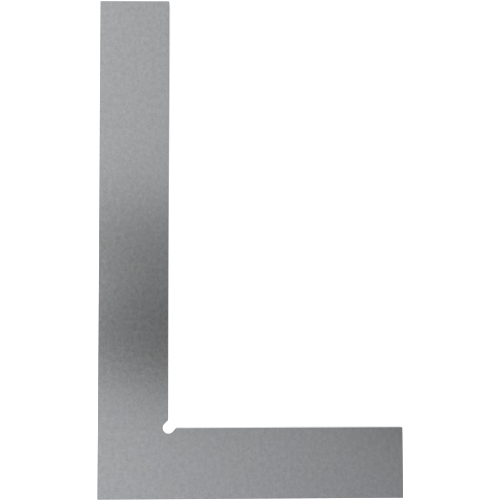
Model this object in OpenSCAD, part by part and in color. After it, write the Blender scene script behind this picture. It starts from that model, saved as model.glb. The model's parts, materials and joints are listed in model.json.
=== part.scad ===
// Flat steel workshop square: one L-shaped plate lying on its face.
// Origin: the outer right-angle corner, on the underside.
// +X runs along the short leg, +Y along the long leg, +Z up through the plate.

/* [Legs] */
// Length of the long leg, measured along its outer edge
long_leg = 300; // [150:1:600]
// Length of the short leg, measured along its outer edge
short_leg = 182; // [120:1:360]
// Width of both legs
leg_w = 42; // [25:1:60]

/* [Plate] */
// Thickness of the plate
plate_t = 5; // [3:0.5:8]
// Width of the 45-degree break on every edge and corner
edge_break = 0.3; // [0.1:0.05:0.8]

/* [Corner relief] */
// Diameter of the relief's round end, and width of its mouth
relief_d = 6.5; // [4:0.5:12]

/* [Hidden] */
$fn = 96;
// How far a cutter runs on past the face or the opening that it cuts
clear = 1;
relief_r = relief_d / 2;
// From the inner corner along either inner edge to the relief's mouth
mouth = relief_r * sqrt(2);
// Half of the section across the relief, from its middle out: a straight wall,
// with a 45-degree break at each face that runs on past the face
flare = relief_r + edge_break + clear;
half_section = [
    [0, -clear], [flare, -clear], [relief_r, edge_break],
    [relief_r, plate_t - edge_break], [flare, plate_t + clear], [0, plate_t + clear]
];
full_section = concat(
    [for (i = [1 : 4]) half_section[i]],
    [for (i = [4 : -1 : 1]) [-half_section[i][0], half_section[i][1]]]
);

// A rectangle with its four corners broken.
module broken_rectangle(width, height) {
    polygon([
        [edge_break, 0], [width - edge_break, 0],
        [width, edge_break], [width, height - edge_break],
        [width - edge_break, height], [edge_break, height],
        [0, height - edge_break], [0, edge_break]
    ]);
}

// One leg, a flat bar with every edge broken: what its plan, its side view and
// its end view have in common.
module leg(width, length) {
    intersection() {
        linear_extrude(height = plate_t)
            broken_rectangle(width, length);
        rotate([90, 0, 90])
            linear_extrude(height = width)
                broken_rectangle(length, plate_t);
        translate([0, length, 0])
            rotate([90, 0, 0])
                linear_extrude(height = length)
                    broken_rectangle(width, plate_t);
    }
}

// The relief: a round end centred on the inner corner, and straight sides that
// open at 45 degrees between the legs. A burr or a sharp tip on the work stays clear.
module relief() {
    translate([leg_w, leg_w, 0])
        rotate([0, 0, 45]) {
            rotate([0, 0, 90])
                rotate_extrude(angle = 180)
                    polygon(half_section);
            rotate([90, 0, 90])
                linear_extrude(height = mouth + clear)
                    polygon(full_section);
        }
}

// The whole plate: both legs are one piece, cut from one sheet, with no seam.
module square_plate() {
    color([0.60, 0.61, 0.63])
        difference() {
            union() {
                leg(leg_w, long_leg);
                leg(short_leg, leg_w);
            }
            relief();
        }
}

square_plate();
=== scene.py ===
"""A flat steel workshop square: one L-shaped plate, ground, edge-broken and zinc-plated.

It lies on a white light table in a white room. +X runs along the short leg, +Y along
the long leg and +Z up through the plate. Lengths are in metres.
"""
import json
import math

import bmesh
import bpy
import numpy as np
from mathutils import Matrix, Vector


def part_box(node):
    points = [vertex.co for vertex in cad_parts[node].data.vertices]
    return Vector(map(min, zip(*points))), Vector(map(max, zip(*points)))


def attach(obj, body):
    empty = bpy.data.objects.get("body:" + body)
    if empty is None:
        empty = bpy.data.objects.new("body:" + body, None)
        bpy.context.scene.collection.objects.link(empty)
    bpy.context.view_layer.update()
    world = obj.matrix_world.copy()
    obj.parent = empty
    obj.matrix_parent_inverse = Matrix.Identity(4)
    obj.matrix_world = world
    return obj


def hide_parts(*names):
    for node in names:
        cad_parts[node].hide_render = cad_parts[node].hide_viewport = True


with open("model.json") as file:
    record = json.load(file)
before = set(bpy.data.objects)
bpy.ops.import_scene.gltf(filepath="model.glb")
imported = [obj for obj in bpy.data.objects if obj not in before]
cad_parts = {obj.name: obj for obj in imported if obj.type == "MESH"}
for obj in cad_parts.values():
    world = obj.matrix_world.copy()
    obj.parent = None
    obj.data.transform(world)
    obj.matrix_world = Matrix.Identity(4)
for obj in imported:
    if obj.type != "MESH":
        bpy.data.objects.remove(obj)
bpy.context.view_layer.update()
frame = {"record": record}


# ---------------------------------------------------------------- the square plate
# Both legs are one piece of 5 mm steel sheet, cut to an L and ground on its faces and
# walls. A round-ended relief is milled into the inner corner, every edge is broken by
# hand, and the whole plate is then zinc-plated. It has no fixings: it lies on its face.

MM = 0.001
low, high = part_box("square_plate")
SHORT_LEG = high.x - low.x
LONG_LEG = high.y - low.y
THICK = high.z - low.z
mounts = {mount["name"]: mount for mount in frame["record"]["mounts"]}
LEG_WIDTH = mounts["inner_long_edge"]["pos_m"][0] - low.x
RELIEF_RADIUS = 3.25 * MM
CORNER_RADIUS = 0.5 * MM
EDGE_RADIUS = 0.3 * MM
EDGE_STEPS = 6
CORNER_STEPS = 8
RELIEF_STEPS = 64
FACE_RINGS = np.array([3.0, 1.2, 0.34]) * MM
WELD = 0.001 * MM


def turn(corner, radius, heading, angle):
    """One rounded corner of the outline, as (centre, signed radius, first and last normal, mitre).

    The outline runs anticlockwise and turns left by angle at the corner. Its normals are
    heading - 90 before the corner and angle more after it. The centre lies one radius
    inside both sides: corner - mitre * radius, with mitre = (n1 + n2) / (1 + n1.n2).
    """
    first, last = math.radians(heading - 90), math.radians(heading - 90 + angle)
    n1 = np.array([math.cos(first), math.sin(first)])
    n2 = np.array([math.cos(last), math.sin(last)])
    mitre = (n1 + n2) / (1 + n1 @ n2)
    return np.array(corner) - mitre * radius, radius, first, last, mitre


def outline_arcs():
    """The outline's arcs in order from the outer corner. Straight sides join one to the next.

    The relief is the one hollow arc, so its radius is negative: it runs clockwise round
    the inner corner, from the foot of one 45-degree side to the foot of the other.
    """
    mouth = RELIEF_RADIUS * math.sqrt(2)
    w = LEG_WIDTH
    relief = (np.array([w, w]), -RELIEF_RADIUS, math.radians(135), math.radians(-45), np.zeros(2))
    return [
        turn((0, 0), CORNER_RADIUS, 270, 90),
        turn((SHORT_LEG, 0), CORNER_RADIUS, 0, 90),
        turn((SHORT_LEG, w), CORNER_RADIUS, 90, 90),
        turn((w + mouth, w), CORNER_RADIUS, 180, 45),
        relief,
        turn((w, w + mouth), CORNER_RADIUS, 45, 45),
        turn((w, LONG_LEG), CORNER_RADIUS, 90, 90),
        turn((0, LONG_LEG), CORNER_RADIUS, 180, 90),
    ]


def outline_at(inset):
    """Points of the outline moved inwards by inset: centre + (radius - inset) * normal.

    Where the inset is more than a corner's radius, the corner is sharp, and its points
    fall together on the mitre: centre + (radius - inset) * mitre.
    """
    runs = []
    for centre, radius, first, last, mitre in outline_arcs():
        steps = RELIEF_STEPS if radius < 0 else CORNER_STEPS
        angles = np.linspace(first, last, steps + 1)
        normals = np.column_stack([np.cos(angles), np.sin(angles)])
        if radius < 0 or inset <= radius:
            runs.append(centre + (radius - inset) * normals)
        else:
            runs.append(np.repeat([centre + (radius - inset) * mitre], steps + 1, axis=0))
    return np.concatenate(runs)


def edge_profile():
    """The plate's section from the underside, round the edge, to the top, as (inset, height).

    FACE_RINGS come first and last, then quarter circles of EDGE_RADIUS, with the
    straight wall between them. The ring nearest each quarter keeps the face flat.
    A quarter's point is EDGE_RADIUS * (1 - sin, 1 - cos) of its angle.
    """
    angles = np.linspace(0, math.pi / 2, EDGE_STEPS + 1)
    quarter = EDGE_RADIUS * (1 - np.column_stack([np.sin(angles), np.cos(angles)]))
    wall = np.linspace(EDGE_RADIUS, THICK / 2, 3)[1:]
    lower = np.concatenate([
        np.column_stack([FACE_RINGS, np.zeros_like(FACE_RINGS)]),
        quarter,
        np.column_stack([np.zeros(2), wall]),
    ])
    upper = lower[-2::-1] * [1, -1] + [0, THICK]
    return np.concatenate([lower, upper])


def swept_plate():
    """The closed plate: the edge profile carried along the outline, and a cap on each face.

    Vertex (ring i, point j) is the outline at the profile's inset i, at its height i.
    Points that fall together at sharp corners are merged. The map's u is the distance
    along the outline and its v the distance along the profile. Three attributes go with
    it: inset; wall, which is 1 - inset / EDGE_RADIUS down to 0; and milled, 1 on the
    columns of the relief's round end and 0 elsewhere.
    """
    profile = edge_profile()
    rings = np.stack([outline_at(inset) for inset, _ in profile])
    count, around = rings.shape[:2]
    heights = np.repeat(profile[:, 1], around).reshape(count, around, 1)
    points = np.concatenate([rings + [low.x, low.y], heights + low.z], axis=2).reshape(-1, 3)
    i, j = np.meshgrid(np.arange(count - 1), np.arange(around), indexing="ij")
    here, there = i * around + j, i * around + (j + 1) % around
    quads = np.stack([here, there, there + around, here + around], axis=-1).reshape(-1, 4)
    top_cap = np.arange((count - 1) * around, count * around)
    faces = quads.tolist() + [np.arange(around)[::-1].tolist(), top_cap.tolist()]
    mesh = bpy.data.meshes.new("square_plate")
    mesh.from_pydata(points.tolist(), [], faces)

    edge = outline_at(0)
    along = np.concatenate([[0], np.cumsum(np.linalg.norm(np.diff(edge, axis=0), axis=1))])
    across = np.concatenate([[0], np.cumsum(np.linalg.norm(np.diff(profile, axis=0), axis=1))])
    flat = np.column_stack([np.tile(along, count), np.repeat(across, around)])
    loops = np.zeros(len(mesh.loops), int)
    mesh.loops.foreach_get("vertex_index", loops)
    mesh.uv_layers.new(name="edge_map").data.foreach_set("uv", flat[loops].ravel())
    inset = mesh.attributes.new("inset", "FLOAT", "POINT")
    inset.data.foreach_set("value", np.repeat(profile[:, 0], around))
    wall = mesh.attributes.new("wall", "FLOAT", "POINT")
    wall.data.foreach_set("value", np.repeat(1 - np.minimum(profile[:, 0] / EDGE_RADIUS, 1), around))
    from_corner = np.linalg.norm(edge - LEG_WIDTH, axis=1)
    milled = mesh.attributes.new("milled", "FLOAT", "POINT")
    milled.data.foreach_set("value", np.tile((from_corner < 1.01 * RELIEF_RADIUS) * 1.0, count))

    work = bmesh.new()
    work.from_mesh(mesh)
    bmesh.ops.remove_doubles(work, verts=work.verts, dist=WELD)
    work.to_mesh(mesh)
    work.free()
    mesh.shade_smooth()
    return mesh


def linear(hex_colour):
    """An sRGB hex colour as linear RGBA: below 0.04045, c / 12.92; above, ((c + 0.055) / 1.055) ** 2.4."""
    parts = np.array([int(hex_colour[k:k + 2], 16) for k in (1, 3, 5)]) / 255
    curved = ((parts + 0.055) / 1.055) ** 2.4
    return (*np.where(parts <= 0.04045, parts / 12.92, curved).tolist(), 1.0)


def add_node(tree, kind, inputs, **settings):
    """Adds a node. Each of its inputs takes a value, or a link when it is given a socket."""
    made = tree.nodes.new(kind)
    for name, value in settings.items():
        setattr(made, name, value)
    for name, value in inputs.items():
        if isinstance(value, bpy.types.NodeSocket):
            tree.links.new(value, made.inputs[name])
        else:
            made.inputs[name].default_value = value
    return made


def zinc_plated_steel():
    """Zinc electroplated on ground steel sheet: a bluish grey metal with a satin face.

    The plating follows the grinding marks and grows in fine crystals, so the eye sees a
    soft speckle on the faces, drawn out a little along the long leg. The plating is
    heavier and duller at the edges, and the ground walls carry marks that run along them.
    """
    material = bpy.data.materials.new("zinc_plated_ground_steel")
    material.use_nodes = True
    tree = material.node_tree
    tree.nodes.clear()
    place = add_node(tree, "ShaderNodeTexCoord", {}).outputs["Object"]
    edge_map = add_node(tree, "ShaderNodeUVMap", {}, uv_map="edge_map").outputs["UV"]
    inset = add_node(tree, "ShaderNodeAttribute", {}, attribute_name="inset").outputs["Fac"]
    wall = add_node(tree, "ShaderNodeAttribute", {}, attribute_name="wall").outputs["Fac"]
    milled = add_node(tree, "ShaderNodeAttribute", {}, attribute_name="milled").outputs["Fac"]

    # Crystals in patches from 2.6 mm down to 0.3 mm, a fifth longer along the long leg.
    crystal = 2.6 * MM
    stretched = add_node(tree, "ShaderNodeMapping", {
        "Vector": place, "Scale": (1 / crystal, 1 / (1.2 * crystal), 1 / crystal)}).outputs[0]
    speckle = add_node(tree, "ShaderNodeTexNoise", {
        "Vector": stretched, "Scale": 1.0, "Detail": 3.0, "Roughness": 0.95}).outputs["Fac"]
    # Pinholes 0.8 mm across and about 8 mm apart, where the plating missed a speck of dirt.
    pinhole_radius, apart = 0.4 * MM, 8 * MM
    pinholes = add_node(tree, "ShaderNodeTexVoronoi", {
        "Vector": place, "Scale": 1 / apart}).outputs["Distance"]
    # Grinding marks, each about 20 mm long. Real ones are far finer: 0.25 mm apart is
    # as fine as still shows.
    mark, run = 0.25 * MM, 20 * MM
    face_marks = add_node(tree, "ShaderNodeMapping", {
        "Vector": place, "Scale": (1 / mark, 1 / run, 1 / mark)}).outputs[0]
    face_lines = add_node(tree, "ShaderNodeTexNoise", {
        "Vector": face_marks, "Scale": 1.0, "Detail": 2.0}).outputs["Fac"]
    wall_marks = add_node(tree, "ShaderNodeMapping", {
        "Vector": edge_map, "Scale": (1 / run, 1 / mark, 1.0)}).outputs[0]
    wall_lines = add_node(tree, "ShaderNodeTexNoise", {
        "Vector": wall_marks, "Scale": 1.0, "Detail": 2.0}).outputs["Fac"]
    lines = add_node(tree, "ShaderNodeMix", {
        "Factor": wall, "A": face_lines, "B": wall_lines}, data_type="FLOAT").outputs["Result"]
    # Soft clouds about 25 mm across, where the plating came out a little cooler or warmer.
    cloud = 25 * MM
    clouds = add_node(tree, "ShaderNodeTexNoise", {
        "Vector": place, "Scale": 1 / cloud, "Detail": 2.0}).outputs["Fac"]

    cool, warm = linear("#B9BCC0"), linear("#BCBCBB")
    tint = add_node(tree, "ShaderNodeMix", {
        "Factor": clouds, "A": cool, "B": warm}, data_type="RGBA").outputs["Result"]
    # Crystals shade the faces, and marks the walls, from 13% darker to 11% lighter. Marks
    # shade both by 2% more either way. These noises seldom leave 0.3 to 0.7.
    noise_low, noise_high = 0.3, 0.7
    grain = add_node(tree, "ShaderNodeMix", {
        "Factor": wall, "A": speckle, "B": wall_lines}, data_type="FLOAT").outputs["Result"]
    speckled = add_node(tree, "ShaderNodeMapRange", {
        "Value": grain, "From Min": noise_low, "From Max": noise_high,
        "To Min": 0.87, "To Max": 1.11}).outputs[0]
    lined = add_node(tree, "ShaderNodeMapRange", {
        "Value": lines, "From Min": noise_low, "From Max": noise_high,
        "To Min": 0.98, "To Max": 1.02}).outputs[0]
    pitted = add_node(tree, "ShaderNodeMapRange", {
        "Value": pinholes, "From Min": 0.5 * pinhole_radius / apart,
        "From Max": pinhole_radius / apart, "To Min": 0.8, "To Max": 1.0},
        interpolation_type="SMOOTHSTEP").outputs[0]
    # The heavier plating at the edges: darker by a twenty-fifth, gone 1.2 mm in.
    edge_dull = add_node(tree, "ShaderNodeMapRange", {
        "Value": inset, "From Min": 0.2 * MM, "From Max": 1.2 * MM, "To Min": 0.96, "To Max": 1.0},
        interpolation_type="SMOOTHSTEP").outputs[0]
    # Ground walls plate a third darker than the faces. The relief's milled wall stays bright.
    wall_loss = -0.35
    ground = add_node(tree, "ShaderNodeMath", {0: 1.0, 1: milled}, operation="SUBTRACT").outputs[0]
    ground = add_node(tree, "ShaderNodeMath", {0: wall, 1: ground}, operation="MULTIPLY").outputs[0]
    wall_dull = add_node(tree, "ShaderNodeMath", {0: ground, 1: wall_loss, 2: 1.0},
                         operation="MULTIPLY_ADD").outputs[0]
    shade = speckled
    for layer in (lined, edge_dull, pitted, wall_dull):
        shade = add_node(tree, "ShaderNodeMath", {0: shade, 1: layer}, operation="MULTIPLY").outputs[0]
    colour = add_node(tree, "ShaderNodeVectorMath", {0: tint, 1: shade}, operation="MULTIPLY").outputs[0]

    # Satin: roughness 0.17 on the crystals' dark side and 0.19 on their light side.
    roughness = add_node(tree, "ShaderNodeMapRange", {
        "Value": speckle, "From Min": noise_low, "From Max": noise_high,
        "To Min": 0.17, "To Max": 0.19}).outputs[0]
    # Crystals stand 1.5 thousandths of a millimetre high, and the marks half that.
    crystal_height, mark_share = 0.0015 * MM, 0.5
    texture = add_node(tree, "ShaderNodeMath", {0: lines, 1: mark_share, 2: speckle},
                       operation="MULTIPLY_ADD").outputs[0]
    bump = add_node(tree, "ShaderNodeBump", {
        "Height": texture, "Strength": 1.0, "Distance": crystal_height}).outputs[0]
    metal = add_node(tree, "ShaderNodeBsdfPrincipled", {
        "Base Color": colour, "Metallic": 1.0, "Roughness": roughness, "Normal": bump})
    add_node(tree, "ShaderNodeOutputMaterial", {"Surface": metal.outputs[0]})
    return material


plate = bpy.data.objects.new("ground_plate", swept_plate())
bpy.context.scene.collection.objects.link(plate)
plate.data.materials.append(zinc_plated_steel())
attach(plate, "root")
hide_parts("square_plate")


# ---------------------------------------------------------------- the table
# A broad white light table: an opal acrylic sheet lit from below, so that what lies on
# it throws hardly any shadow. Its top is a hair below the plate's underside.

TABLE_HALF = 4.0
TABLE_GAP = 0.05 * MM
FULL_LIGHT = 1.2
FADED_LIGHT = 0.7
FADE_FROM = 120 * MM
FADE_TO = 280 * MM

table_corners = np.array([[-1, -1, 0], [1, -1, 0], [1, 1, 0], [-1, 1, 0]]) * TABLE_HALF
table_corners[:, 2] = low.z - TABLE_GAP
table_mesh = bpy.data.meshes.new("light_table")
table_mesh.from_pydata(table_corners.tolist(), [], [(0, 1, 2, 3)])
table = bpy.data.objects.new("light_table", table_mesh)
bpy.context.scene.collection.objects.link(table)
opal = bpy.data.materials.new("opal_acrylic")
opal.use_nodes = True
opal.node_tree.nodes.clear()
table_place = add_node(opal.node_tree, "ShaderNodeTexCoord", {}).outputs["Object"]
table_y = add_node(opal.node_tree, "ShaderNodeSeparateXYZ", {"Vector": table_place}).outputs["Y"]
# The tubes below fade towards the long leg's end, so that the plate's shade just shows
# on the sheet beside it there.
backlight = add_node(opal.node_tree, "ShaderNodeMapRange", {
    "Value": table_y, "From Min": FADE_FROM, "From Max": FADE_TO,
    "To Min": FULL_LIGHT, "To Max": FADED_LIGHT},
    interpolation_type="SMOOTHSTEP").outputs[0]
sheet = add_node(opal.node_tree, "ShaderNodeBsdfPrincipled", {
    "Base Color": linear("#F4F4F3"), "Roughness": 0.6, "Specular IOR Level": 0.0,
    "Emission Color": linear("#FFFFFF"), "Emission Strength": backlight})
add_node(opal.node_tree, "ShaderNodeOutputMaterial", {"Surface": sheet.outputs[0]})
table_mesh.materials.append(opal)


# ---------------------------------------------------------------- the light
# A white room with a grey ceiling, which is lighter over the long leg's outer side. An
# unlit stretch of ceiling shows in the plate's face as a soft dark band. There are no
# lamps: all the light comes from the room and the table.

CEILING_GREY = 0.628
# How fast the grey falls with the slope towards +X, and the slope past which it is level.
CEILING_LEAN = -1.18
LEAN_LIMIT = 0.4
# The least height that a slope is worked out with, so that it stays finite.
LOWEST_CEILING = 0.2
HORIZON_WHITE = 1.05
# Sines of a direction's height: 13 degrees and 27 degrees.
WALL_TOP = 0.22
CEILING_FROM = 0.45
# Slopes towards the short leg's side where daylight sets in, and where it is full.
DAYLIGHT_FROM = -0.2
DAYLIGHT_FULL = -0.35
GAP_SOFTNESS = 0.1
# Two overlapping ellipses make the unlit stretch: centre and half size as slopes from
# straight up, angle in degrees, and the share of the light that is missing.
CEILING_GAPS = (
    ((0.332, -0.096), (0.60, 0.125), -16, 0.56),
    ((-0.108, -0.094), (0.15, 0.062), -10, 0.75),
)


def ceiling_gap(tree, slope, centre, half_size, angle, depth):
    """1 - depth inside an ellipse of ceiling directions, 1 outside, with a smooth rim.

    A direction is taken as its slope from straight up, (x / z, y / z). The ellipse has
    that centre, half sizes and angle. Its rim runs from 1 - GAP_SOFTNESS to
    1 + GAP_SOFTNESS of its half sizes.
    """
    local = add_node(tree, "ShaderNodeMapping", {
        "Vector": slope, "Location": (*centre, 0), "Rotation": (0, 0, math.radians(angle)),
        "Scale": (*half_size, 1)}, vector_type="TEXTURE").outputs[0]
    distance = add_node(tree, "ShaderNodeVectorMath", {0: local}, operation="LENGTH").outputs["Value"]
    return add_node(tree, "ShaderNodeMapRange", {
        "Value": distance, "From Min": 1 - GAP_SOFTNESS, "From Max": 1 + GAP_SOFTNESS,
        "To Min": 1 - depth, "To Max": 1.0}, interpolation_type="SMOOTHSTEP").outputs[0]


world = bpy.data.worlds.new("white_room")
bpy.context.scene.world = world
world.use_nodes = True
sky = world.node_tree
sky.nodes.clear()
direction = add_node(sky, "ShaderNodeTexCoord", {}).outputs["Generated"]
parts = add_node(sky, "ShaderNodeSeparateXYZ", {"Vector": direction}).outputs
upward = add_node(sky, "ShaderNodeMath", {
    0: parts["Z"], 1: LOWEST_CEILING}, operation="MAXIMUM").outputs[0]
slope = add_node(sky, "ShaderNodeVectorMath", {0: direction, 1: (1, 1, 0)}, operation="MULTIPLY").outputs[0]
slope_scale = add_node(sky, "ShaderNodeMath", {0: 1.0, 1: upward}, operation="DIVIDE").outputs[0]
slope = add_node(sky, "ShaderNodeVectorMath", {
    0: slope, "Scale": slope_scale}, operation="SCALE").outputs[0]
slope_parts = add_node(sky, "ShaderNodeSeparateXYZ", {"Vector": slope}).outputs
lean = add_node(sky, "ShaderNodeClamp", {
    "Value": slope_parts["X"], "Min": -LEAN_LIMIT, "Max": LEAN_LIMIT}).outputs[0]
lean = add_node(sky, "ShaderNodeMath", {
    0: lean, 1: CEILING_LEAN, 2: 1.0}, operation="MULTIPLY_ADD").outputs[0]
ceiling = add_node(sky, "ShaderNodeMath", {0: lean, 1: CEILING_GREY}, operation="MULTIPLY").outputs[0]
for gap in CEILING_GAPS:
    dim = ceiling_gap(sky, slope, *gap)
    ceiling = add_node(sky, "ShaderNodeMath", {0: ceiling, 1: dim}, operation="MULTIPLY").outputs[0]
# White up to 13 degrees, so that the table has no visible end, and grey from 27 degrees up.
height = add_node(sky, "ShaderNodeMapRange", {
    "Value": parts["Z"], "From Min": WALL_TOP, "From Max": CEILING_FROM},
    interpolation_type="SMOOTHSTEP").outputs[0]
radiance = add_node(sky, "ShaderNodeMix", {
    "Factor": height, "A": HORIZON_WHITE, "B": ceiling}, data_type="FLOAT").outputs["Result"]
# A touch of cool daylight comes from beyond the short leg.
daylight = add_node(sky, "ShaderNodeMapRange", {
    "Value": slope_parts["Y"], "From Min": DAYLIGHT_FROM, "From Max": DAYLIGHT_FULL},
    interpolation_type="SMOOTHSTEP").outputs[0]
tint = add_node(sky, "ShaderNodeMix", {
    "Factor": daylight, "A": linear("#FFFFFF"), "B": linear("#FCFCFF")}, data_type="RGBA").outputs["Result"]
glow = add_node(sky, "ShaderNodeBackground", {"Color": tint, "Strength": radiance})
add_node(sky, "ShaderNodeOutputWorld", {"Surface": glow.outputs[0]})


# ---------------------------------------------------------------- the camera
# It looks almost straight down from 421 mm above the face, over the opening between the
# legs, and aims at the plate's middle, so that the long leg fills the frame's height.

# In millimetres, as the camera takes them.
SENSOR_WIDTH = 36.0
FOCAL_LENGTH = 50.4
ROLL = math.radians(-0.12)
# From the plate's outer corner, on its top face.
EYE = Vector((85.0, 130.9, 420.9)) * MM
AIM = Vector((90.9, 148.0, 0.0)) * MM

outer_corner = Vector((low.x, low.y, high.z))
eye = outer_corner + EYE
aim = outer_corner + AIM
camera_data = bpy.data.cameras.new("camera")
camera_data.sensor_width = SENSOR_WIDTH
camera_data.lens = FOCAL_LENGTH
camera = bpy.data.objects.new("camera", camera_data)
bpy.context.scene.collection.objects.link(camera)
back = (eye - aim).normalized()
across = Vector((0, 1, 0)).cross(back).normalized()
camera.matrix_world = Matrix.Translation(eye) @ Matrix((
    across, back.cross(across), back)).transposed().to_4x4() @ Matrix.Rotation(ROLL, 4, "Z")
camera_data.clip_start = 0.01
camera_data.clip_end = 50
bpy.context.scene.camera = camera
bpy.context.scene.view_settings.view_transform = "Standard"
